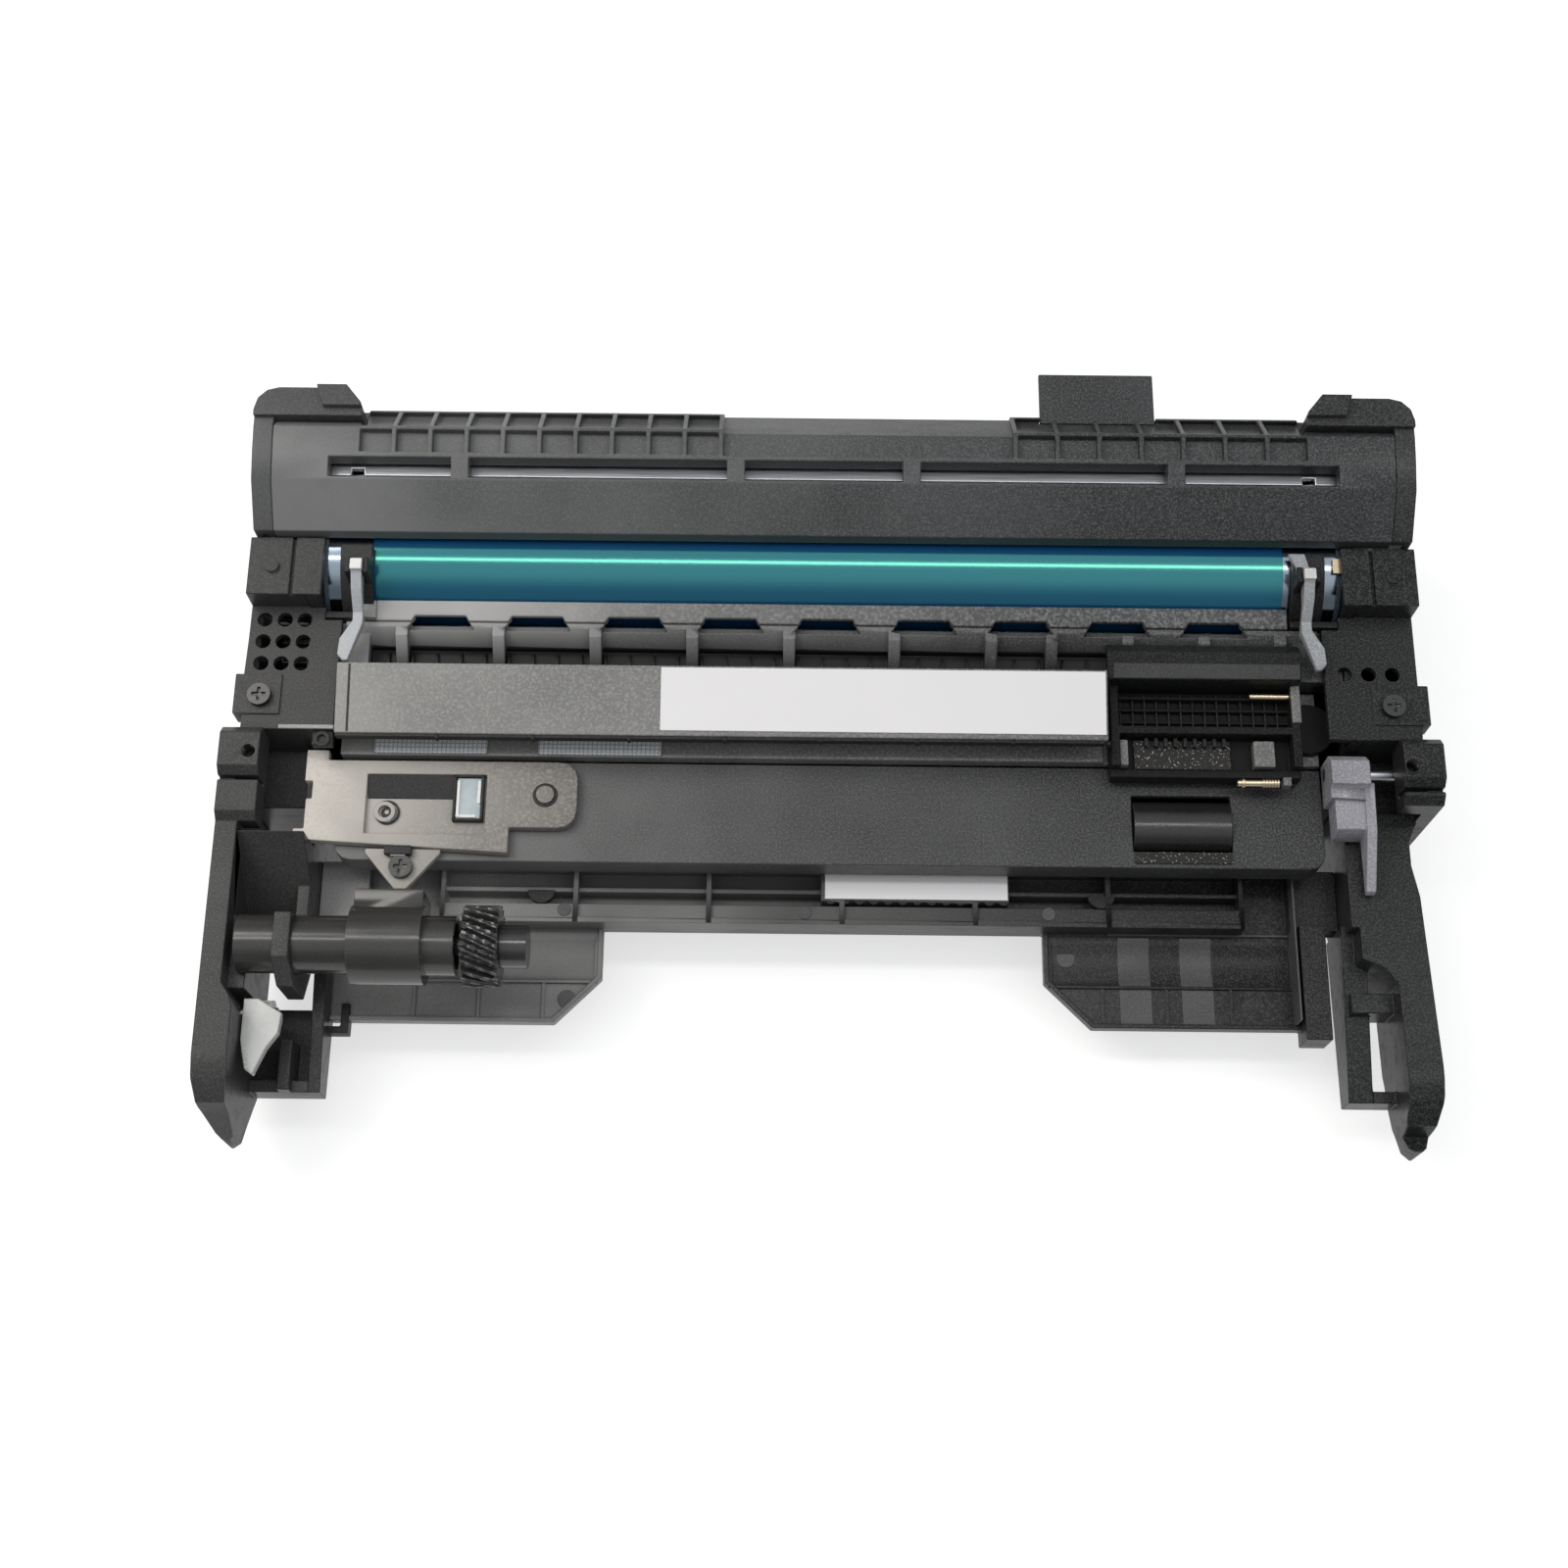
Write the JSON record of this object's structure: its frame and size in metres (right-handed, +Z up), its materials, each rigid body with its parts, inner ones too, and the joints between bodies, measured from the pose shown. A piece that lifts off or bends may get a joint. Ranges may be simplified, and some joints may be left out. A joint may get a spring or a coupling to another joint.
{
  "type": "printer drum unit",
  "caption": "Laser printer drum unit: coated drum, ribbed cleaner housing, developer deck with toner port, geared rollers and two forward guide arms.",
  "frame": {"origin": "under the middle of the unit, at the level it stands on", "axes": "+X along the drum to the right, +Y to the cleaner housing at the back, +Z up"},
  "size_m": [0.298, 0.1924, 0.0733],
  "materials": {
    "housing_black": "fine spark-eroded texture, charcoal black",
    "frame_black": "fine spark-eroded texture, charcoal black",
    "deck_black": "fine spark-eroded texture, charcoal black",
    "panel_grey": "satin dark grey",
    "guide_black": "satin black",
    "strip_grey": "satin light grey",
    "lid_grey": "satin warm grey",
    "label_white": "bare off-white label",
    "window_clear": "clear window",
    "drum_green": "glossy blue-green photoconductor coating on aluminium",
    "hub_plastic": "dark moulded hub",
    "gear_black": "semi-gloss black acetal",
    "tube_gloss": "glossy black",
    "steel": "plain steel",
    "blade_rubber": "polyurethane blade",
    "roller_rubber": "conductive rubber",
    "foam": "grey-blue foam with a fine grid",
    "brass": "plain brass",
    "bearing_plastic": "natural acetal",
    "lever_grey": "light grey acetal",
    "latch_opal": "opal white",
    "latch_grey": "light grey acetal",
    "screw_black": "black zinc"
  },
  "bodies": {
    "frame": {"blade_bracket": "steel", "charge_bearings": "bearing_plastic", "charge_housing": "housing_black", "charge_springs": "steel", "cleaner_cover": "housing_black", "cleaning_blade": "blade_rubber", "developer_cover": "panel_grey", "developer_housing": "deck_black", "doctor_blade": "steel", "drum_bushes": "bearing_plastic", "drum_contact": "brass", "guide_strip": "strip_grey", "idler_pin": "steel", "label_plate": "label_white", "latch_pins": "steel", "left_drum_clip": "deck_black", "left_end_cap": "housing_black", "left_gear_cover": "frame_black", "left_side_frame": "frame_black", "lower_guide": "deck_black", "lower_label": "label_white", "paper_guide": "guide_black", "port_frame": "deck_black", "port_pins": "brass", "port_seals": "foam", "rear_tab": "housing_black", "right_bearing_cover": "frame_black", "right_drum_clip": "deck_black", "right_end_cap": "housing_black", "right_side_frame": "frame_black", "screws": "screw_black", "seal_strips": "foam", "sensor_cover": "lid_grey", "sensor_window": "window_clear", "supply_tube": "tube_gloss", "waste_trough": "housing_black"},
    "drum": {"drum_tube": "drum_green", "drum_gear": "gear_black", "drum_flange": "hub_plastic", "drum_hub": "hub_plastic", "drum_axle": "steel"},
    "developer": {"developer_roller": "steel", "roller_gear": "gear_black"},
    "back_mixer_body": {"back_mixer": "gear_black", "back_mixer_gear": "gear_black"},
    "front_mixer_body": {"front_mixer": "gear_black", "front_mixer_gear": "gear_black"},
    "idler": {"idler_gear": "gear_black"},
    "waste": {"waste_screw": "gear_black", "waste_gear": "gear_black"},
    "charge": {"charge_roller": "roller_rubber"},
    "wiper": {"wiper_roller": "foam"},
    "supply": {"supply_screw": "gear_black", "supply_gear": "gear_black"},
    "shutter": {"port_shutter": "tube_gloss"},
    "left_lever": {"left_lift_lever": "lever_grey"},
    "right_lever": {"right_lift_lever": "lever_grey"},
    "left_latch_body": {"left_latch": "latch_opal"},
    "right_latch_body": {"right_latch": "latch_grey"}
  },
  "joints": [
    {"name": "drum_spin", "type": "hinge", "parent": "frame", "child": "drum", "pos_m": [0, 0.0488, 0.04], "axis": [1, 0, 0], "continuous": true},
    {"name": "developer_spin", "type": "hinge", "parent": "frame", "child": "developer", "pos_m": [0, 0.0298, 0.02669], "axis": [1, 0, 0], "continuous": true},
    {"name": "back_mixer_spin", "type": "hinge", "parent": "frame", "child": "back_mixer_body", "pos_m": [0, 0.01754, 0.01641], "axis": [1, 0, 0], "continuous": true},
    {"name": "front_mixer_spin", "type": "hinge", "parent": "frame", "child": "front_mixer_body", "pos_m": [0, 0.00474, 0.01641], "axis": [1, 0, 0], "continuous": true},
    {"name": "idler_spin", "type": "hinge", "parent": "frame", "child": "idler", "pos_m": [-0.136, 0.06949, 0.03783], "axis": [1, 0, 0], "continuous": true},
    {"name": "waste_spin", "type": "hinge", "parent": "frame", "child": "waste", "pos_m": [0, 0.07559, 0.04722], "axis": [1, 0, 0], "continuous": true},
    {"name": "charge_spin", "type": "hinge", "parent": "frame", "child": "charge", "pos_m": [0, 0.06153, 0.02483], "axis": [1, 0, 0], "continuous": true},
    {"name": "wiper_spin", "type": "hinge", "parent": "frame", "child": "wiper", "pos_m": [0, 0.06654, 0.01886], "axis": [1, 0, 0], "continuous": true},
    {"name": "supply_spin", "type": "hinge", "parent": "frame", "child": "supply", "pos_m": [-0.09, -0.0517, 0.045], "axis": [1, 0, 0], "continuous": true},
    {"name": "shutter_turn", "type": "hinge", "parent": "frame", "child": "shutter", "pos_m": [0.087, -0.0165, 0.033], "axis": [1, 0, 0], "range_deg": [0, 70], "stiffness_Nm_per_rad": 0.004},
    {"name": "left_lever_lift", "type": "hinge", "parent": "frame", "child": "left_lever", "pos_m": [-0.1175, 0.041, 0.0592], "axis": [1, 0, 0], "range_deg": [-35, 0]},
    {"name": "right_lever_lift", "type": "hinge", "parent": "frame", "child": "right_lever", "pos_m": [0.1175, 0.041, 0.0592], "axis": [1, 0, 0], "range_deg": [-35, 0]},
    {"name": "left_latch_turn", "type": "hinge", "parent": "frame", "child": "left_latch_body", "pos_m": [-0.1375, -0.0665, 0.036], "axis": [1, 0, 0], "range_deg": [-30, 0]},
    {"name": "right_latch_turn", "type": "hinge", "parent": "frame", "child": "right_latch_body", "pos_m": [0.1335, -0.004, 0.04], "axis": [1, 0, 0], "range_deg": [-15, 0]}
  ],
  "couplings": [
    {"joint": "developer_spin", "follows": "drum_spin", "ratio": -1.6364},
    {"joint": "back_mixer_spin", "follows": "drum_spin", "ratio": 2},
    {"joint": "front_mixer_spin", "follows": "drum_spin", "ratio": -2.5714},
    {"joint": "idler_spin", "follows": "drum_spin", "ratio": -2.25},
    {"joint": "waste_spin", "follows": "drum_spin", "ratio": 3},
    {"joint": "charge_spin", "follows": "drum_spin", "ratio": -3.3333},
    {"joint": "wiper_spin", "follows": "drum_spin", "ratio": 5}
  ]
}
